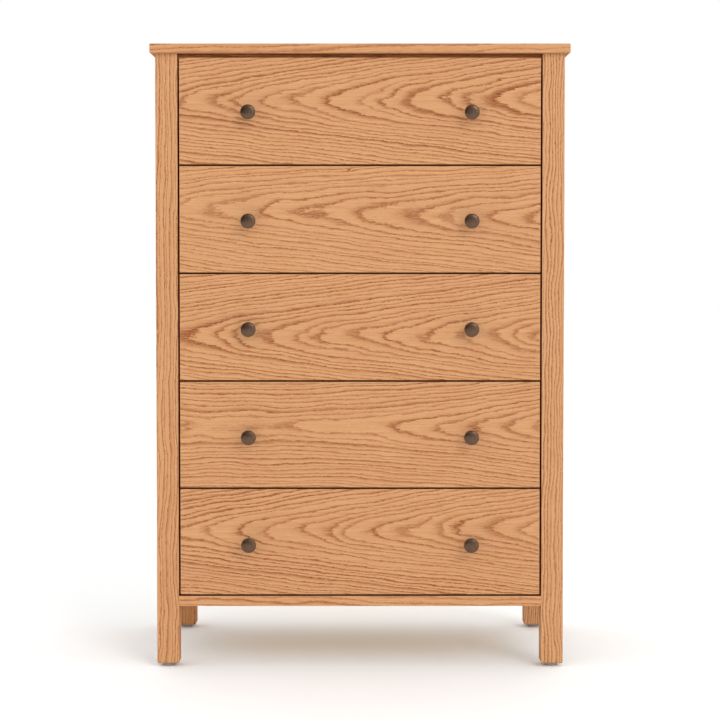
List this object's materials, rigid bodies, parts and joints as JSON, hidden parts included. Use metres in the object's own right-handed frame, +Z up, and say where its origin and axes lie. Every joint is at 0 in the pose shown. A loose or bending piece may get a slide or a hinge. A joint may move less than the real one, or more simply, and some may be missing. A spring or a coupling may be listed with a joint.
{
  "type": "chest of drawers",
  "caption": "Tall oak chest of drawers on square legs, with full-width drawers on ball-bearing slides and round dark knobs.",
  "frame": {"origin": "on the floor, under the middle of the whole outline, knobs included", "axes": "+Z up, the drawers open towards -Y, +X to the right of someone facing them"},
  "size_m": [0.911, 0.5258, 1.3595],
  "materials": {
    "oak": "satin clear finish over flat-sawn oak",
    "birch": "satin clear finish over solid birch",
    "plywood": "sanded plywood, clear finish",
    "steel": "bright zinc plate",
    "bronze": "satin dark bronze",
    "glide": "matte grey nylon"
  },
  "bodies": {
    "case": {"top_panel": "oak", "front_left_leg": "oak", "front_right_leg": "oak", "rear_left_leg": "oak", "rear_right_leg": "oak", "left_side_panel": "oak", "right_side_panel": "oak", "back_panel": "plywood", "top_front_rail": "oak", "top_rear_rail": "oak", "bottom_front_rail": "oak", "bottom_rear_rail": "oak", "drawer_dividers": "oak", "slide_outer_members": "steel", "leg_glides": "glide"},
    "drawer_1": {"drawer_1_front": "oak", "drawer_1_knobs": "bronze", "drawer_1_box_front": "birch", "drawer_1_box_left": "birch", "drawer_1_box_right": "birch", "drawer_1_box_back": "birch", "drawer_1_bottom": "plywood", "drawer_1_slide_inner_members": "steel"},
    "slide_1_middle": {"drawer_1_slide_middle_members": "steel"},
    "drawer_2": {"drawer_2_front": "oak", "drawer_2_knobs": "bronze", "drawer_2_box_front": "birch", "drawer_2_box_left": "birch", "drawer_2_box_right": "birch", "drawer_2_box_back": "birch", "drawer_2_bottom": "plywood", "drawer_2_slide_inner_members": "steel"},
    "slide_2_middle": {"drawer_2_slide_middle_members": "steel"},
    "drawer_3": {"drawer_3_front": "oak", "drawer_3_knobs": "bronze", "drawer_3_box_front": "birch", "drawer_3_box_left": "birch", "drawer_3_box_right": "birch", "drawer_3_box_back": "birch", "drawer_3_bottom": "plywood", "drawer_3_slide_inner_members": "steel"},
    "slide_3_middle": {"drawer_3_slide_middle_members": "steel"},
    "drawer_4": {"drawer_4_front": "oak", "drawer_4_knobs": "bronze", "drawer_4_box_front": "birch", "drawer_4_box_left": "birch", "drawer_4_box_right": "birch", "drawer_4_box_back": "birch", "drawer_4_bottom": "plywood", "drawer_4_slide_inner_members": "steel"},
    "slide_4_middle": {"drawer_4_slide_middle_members": "steel"},
    "drawer_5": {"drawer_5_front": "oak", "drawer_5_knobs": "bronze", "drawer_5_box_front": "birch", "drawer_5_box_left": "birch", "drawer_5_box_right": "birch", "drawer_5_box_back": "birch", "drawer_5_bottom": "plywood", "drawer_5_slide_inner_members": "steel"},
    "slide_5_middle": {"drawer_5_slide_middle_members": "steel"}
  },
  "joints": [
    {"name": "drawer_1_slide", "type": "slide", "parent": "case", "child": "drawer_1", "axis": [0, -1, 0], "range_m": [0, 0.44]},
    {"name": "slide_1_middle_slide", "type": "slide", "parent": "case", "child": "slide_1_middle", "axis": [0, -1, 0], "range_m": [0, 0.22]},
    {"name": "drawer_2_slide", "type": "slide", "parent": "case", "child": "drawer_2", "axis": [0, -1, 0], "range_m": [0, 0.44]},
    {"name": "slide_2_middle_slide", "type": "slide", "parent": "case", "child": "slide_2_middle", "axis": [0, -1, 0], "range_m": [0, 0.22]},
    {"name": "drawer_3_slide", "type": "slide", "parent": "case", "child": "drawer_3", "axis": [0, -1, 0], "range_m": [0, 0.44]},
    {"name": "slide_3_middle_slide", "type": "slide", "parent": "case", "child": "slide_3_middle", "axis": [0, -1, 0], "range_m": [0, 0.22]},
    {"name": "drawer_4_slide", "type": "slide", "parent": "case", "child": "drawer_4", "axis": [0, -1, 0], "range_m": [0, 0.44]},
    {"name": "slide_4_middle_slide", "type": "slide", "parent": "case", "child": "slide_4_middle", "axis": [0, -1, 0], "range_m": [0, 0.22]},
    {"name": "drawer_5_slide", "type": "slide", "parent": "case", "child": "drawer_5", "axis": [0, -1, 0], "range_m": [0, 0.44]},
    {"name": "slide_5_middle_slide", "type": "slide", "parent": "case", "child": "slide_5_middle", "axis": [0, -1, 0], "range_m": [0, 0.22]}
  ],
  "couplings": [
    {"joint": "slide_1_middle_slide", "follows": "drawer_1_slide", "ratio": 0.5},
    {"joint": "slide_2_middle_slide", "follows": "drawer_2_slide", "ratio": 0.5},
    {"joint": "slide_3_middle_slide", "follows": "drawer_3_slide", "ratio": 0.5},
    {"joint": "slide_4_middle_slide", "follows": "drawer_4_slide", "ratio": 0.5},
    {"joint": "slide_5_middle_slide", "follows": "drawer_5_slide", "ratio": 0.5}
  ]
}
